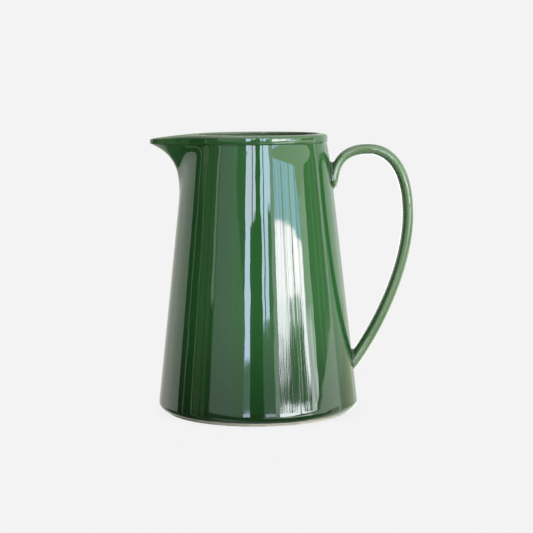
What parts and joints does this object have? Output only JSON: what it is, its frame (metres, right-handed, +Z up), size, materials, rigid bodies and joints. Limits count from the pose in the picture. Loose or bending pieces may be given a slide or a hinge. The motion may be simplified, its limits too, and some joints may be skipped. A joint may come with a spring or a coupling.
{
  "type": "pitcher",
  "caption": "Tapered glazed ceramic pitcher with a pulled pouring spout, a raised rim band and an arched strap handle.",
  "frame": {"origin": "on the plane the foot ring stands on, under the middle of the outline from the spout's tip to the back of the handle; the vessel's own axis is at X -0.0182", "axes": "+Z up along the vessel's axis, +X from the spout towards the handle, +Y across the handle"},
  "size_m": [0.1892, 0.1442, 0.2],
  "materials": {
    "green_glaze": "deep green translucent gloss glaze over stoneware",
    "rim_glaze": "the same glaze, thinner and paler where it breaks over the rim",
    "handle_glaze": "the same gloss glaze on the handle",
    "inner_glaze": "the same gloss glaze inside",
    "pooled_glaze": "dark glaze pooled in the corners at the handle's roots",
    "bare_clay": "matte unglazed stoneware, wiped clean"
  },
  "bodies": {
    "root": {"body_wall": "green_glaze", "spout": "green_glaze", "rim_band": "rim_glaze", "floor_disc": "inner_glaze", "foot_ring": "bare_clay", "handle": "handle_glaze", "upper_joint_coil": "pooled_glaze", "lower_joint_coil": "pooled_glaze"}
  },
  "joints": []
}
